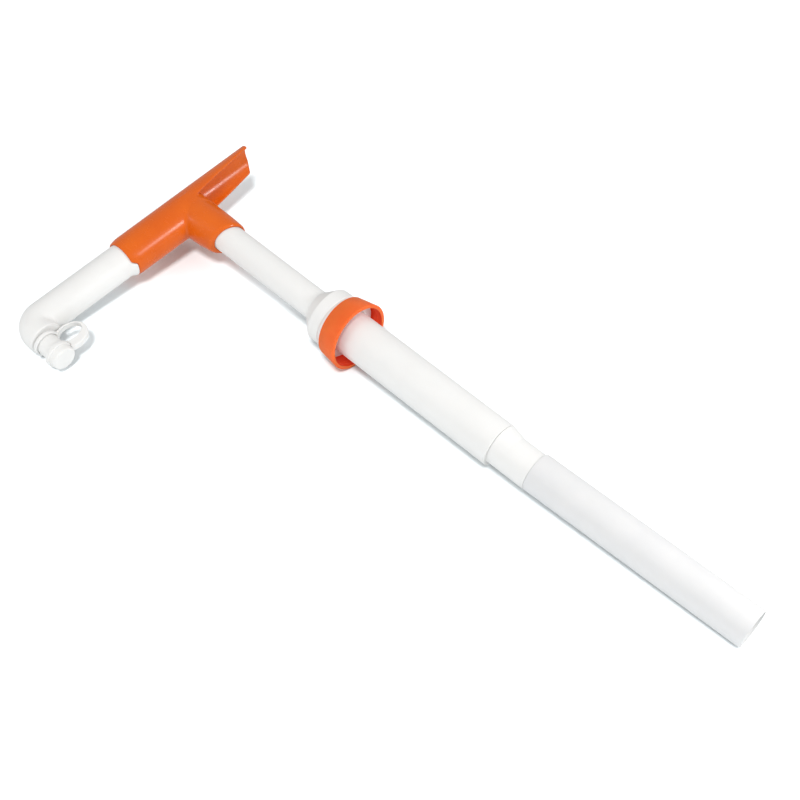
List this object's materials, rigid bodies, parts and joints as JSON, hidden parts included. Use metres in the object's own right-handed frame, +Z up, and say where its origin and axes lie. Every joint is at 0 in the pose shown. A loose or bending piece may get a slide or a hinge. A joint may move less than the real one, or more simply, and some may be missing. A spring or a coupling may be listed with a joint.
{
  "type": "hand lift transfer pump",
  "caption": "Hand lift transfer pump for pails and drums: T-handle with capped side spout, hollow piston rod, loose screw collar, barrel and suction tube.",
  "frame": {"origin": "middle of the footprint, on the level of the lowest point of the collar, with the pump lying on its side", "axes": "+X along the pump axis towards the open end of the suction tube, +Y along the T-handle towards the tip of its open grip, +Z up"},
  "size_m": [0.7768, 0.3458, 0.0772],
  "materials": {
    "orange_handle": "moulded orange polyethylene, satin gloss",
    "orange_collar": "moulded orange polypropylene, matte",
    "white_plastic": "moulded or extruded white plastic, satin",
    "tube_plastic": "extruded cool white plastic, matte",
    "plug_plastic": "soft white polyethylene, satin",
    "ball_plastic": "polished white plastic ball",
    "seal_rubber": "black rubber",
    "gasket_rubber": "soft pale rubber washer"
  },
  "bodies": {
    "barrel": {"pump_barrel": "white_plastic", "head_cap": "white_plastic", "rod_guide_bush": "white_plastic", "rod_seal": "seal_rubber", "neck_gasket": "gasket_rubber", "foot_valve_body": "white_plastic", "foot_valve_o_ring": "seal_rubber", "foot_ball_cage": "white_plastic", "spigot_o_ring": "seal_rubber"},
    "piston": {"piston_cup_seal": "seal_rubber"},
    "handle": {"handle_tee": "orange_handle", "spout_elbow": "white_plastic", "spout_o_ring": "seal_rubber", "rod_o_ring": "seal_rubber", "piston_rod": "white_plastic", "piston_head": "white_plastic", "piston_retainer": "white_plastic", "piston_ball_cage": "white_plastic", "plug_strap": "plug_plastic"},
    "plug": {"spout_plug": "plug_plastic"},
    "piston_ball": {"piston_valve_ball": "ball_plastic"},
    "foot_ball": {"foot_valve_ball": "ball_plastic"},
    "collar": {"collar": "orange_collar"},
    "suction_tube": {"suction_tube": "tube_plastic"}
  },
  "joints": [
    {"name": "pump_stroke", "type": "slide", "parent": "barrel", "child": "piston", "axis": [1, 0, 0], "range_m": [-0.033, 0.13]},
    {"name": "handle_swivel", "type": "hinge", "parent": "piston", "child": "handle", "pos_m": [-0.36421, 0.07042, 0.03818], "axis": [1, 0, 0], "continuous": true},
    {"name": "plug_pull", "type": "slide", "parent": "handle", "child": "plug", "axis": [1, 0, 0], "range_m": [0, 0.013], "deforming": ["plug_strap"]},
    {"name": "piston_valve_lift", "type": "slide", "parent": "handle", "child": "piston_ball", "axis": [-1, 0, 0], "range_m": [0, 0.005]},
    {"name": "foot_valve_lift", "type": "slide", "parent": "barrel", "child": "foot_ball", "axis": [-1, 0, 0], "range_m": [0, 0.005]},
    {"name": "collar_turn", "type": "hinge", "parent": "barrel", "child": "collar", "pos_m": [-0.10311, 0.07042, 0.03868], "axis": [0.9954, 0, 0.0958], "continuous": true},
    {"name": "suction_tube_pull", "type": "slide", "parent": "barrel", "child": "suction_tube", "axis": [0.9996, 0.0271, 0], "range_m": [0, 0.026]}
  ]
}
